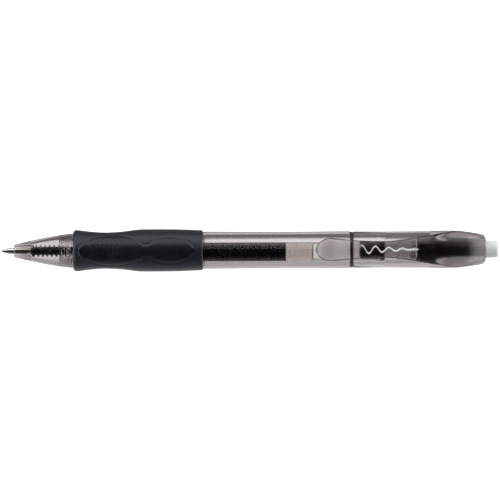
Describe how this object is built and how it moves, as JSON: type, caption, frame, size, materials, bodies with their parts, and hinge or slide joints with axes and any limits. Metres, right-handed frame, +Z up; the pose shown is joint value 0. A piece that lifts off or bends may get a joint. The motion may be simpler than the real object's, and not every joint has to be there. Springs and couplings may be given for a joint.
{
  "type": "retractable gel pen",
  "caption": "Retractable gel pen with a smoke-clear barrel, a waisted rubber grip, a pocket clip and a click button that moves a replaceable refill.",
  "frame": {"origin": "under the middle of the pen's length, where the fattest part of the grip touches the ground", "axes": "+X along the pen from the writing point to the push button, +Z up through the pocket clip"},
  "size_m": [0.145, 0.0126, 0.0147],
  "materials": {
    "smoke_plastic": "clear polished",
    "grip_rubber": "fine matte grain",
    "cam_plastic": "clear tinted",
    "button_plastic": "satin",
    "black_plastic": "satin",
    "spring_steel": "bright drawn wire",
    "clear_tube": "clear",
    "black_ink": "wet",
    "grease": "wet",
    "point_metal": "turned nickel silver",
    "ball_metal": "polished"
  },
  "bodies": {
    "shell": {"barrel": "smoke_plastic", "rubber_grip": "grip_rubber", "rear_cap": "smoke_plastic", "joint_ring": "black_plastic", "cam_sleeve": "smoke_plastic"},
    "clip": {"pocket_clip": "smoke_plastic"},
    "spring": {"return_spring": "spring_steel"},
    "nose": {"nose_cone": "smoke_plastic"},
    "refill": {"ink_tube": "clear_tube", "gel_ink": "black_ink", "grease_follower": "grease", "tail_plug": "black_plastic", "point_holder": "black_plastic", "point_cone": "point_metal", "valve_ball": "ball_metal"},
    "rotor": {"cam_rotor": "cam_plastic"},
    "button": {"push_button": "button_plastic", "plunger": "black_plastic"},
    "ball": {"writing_ball": "ball_metal"}
  },
  "joints": [
    {"name": "refill_slide", "type": "slide", "parent": "shell", "child": "refill", "axis": [1, 0, 0], "range_m": [-0.0015, 0.006], "deforming": ["return_spring"]},
    {"name": "button_press", "type": "slide", "parent": "shell", "child": "button", "axis": [1, 0, 0], "range_m": [-0.0015, 0.006]},
    {"name": "rotor_turn", "type": "hinge", "parent": "refill", "child": "rotor", "pos_m": [0.044, 0, 0.00634], "axis": [1, 0, 0], "range_deg": [-11.3, 45.1]},
    {"name": "nose_travel", "type": "slide", "parent": "shell", "child": "spring", "axis": [-1, 0, 0], "range_m": [0, 0.0036]},
    {"name": "nose_turn", "type": "hinge", "parent": "spring", "child": "nose", "pos_m": [-0.06, 0, 0.00634], "axis": [-1, 0, 0], "range_deg": [0, 1620.1]},
    {"name": "clip_flex", "type": "hinge", "parent": "shell", "child": "clip", "pos_m": [0.05365, 0, 0.01374], "axis": [0, 1, 0], "range_deg": [0, 3.5], "stiffness_Nm_per_rad": 0.6},
    {"name": "ball_roll", "type": "hinge", "parent": "refill", "child": "ball", "pos_m": [-0.07215, 0, 0.00634], "axis": [0, 1, 0], "continuous": true}
  ],
  "couplings": [
    {"joint": "button_press", "follows": "refill_slide", "ratio": 1},
    {"joint": "rotor_turn", "follows": "refill_slide", "rad_per_m": 130.9},
    {"joint": "nose_turn", "follows": "nose_travel", "rad_per_m": 7854}
  ]
}
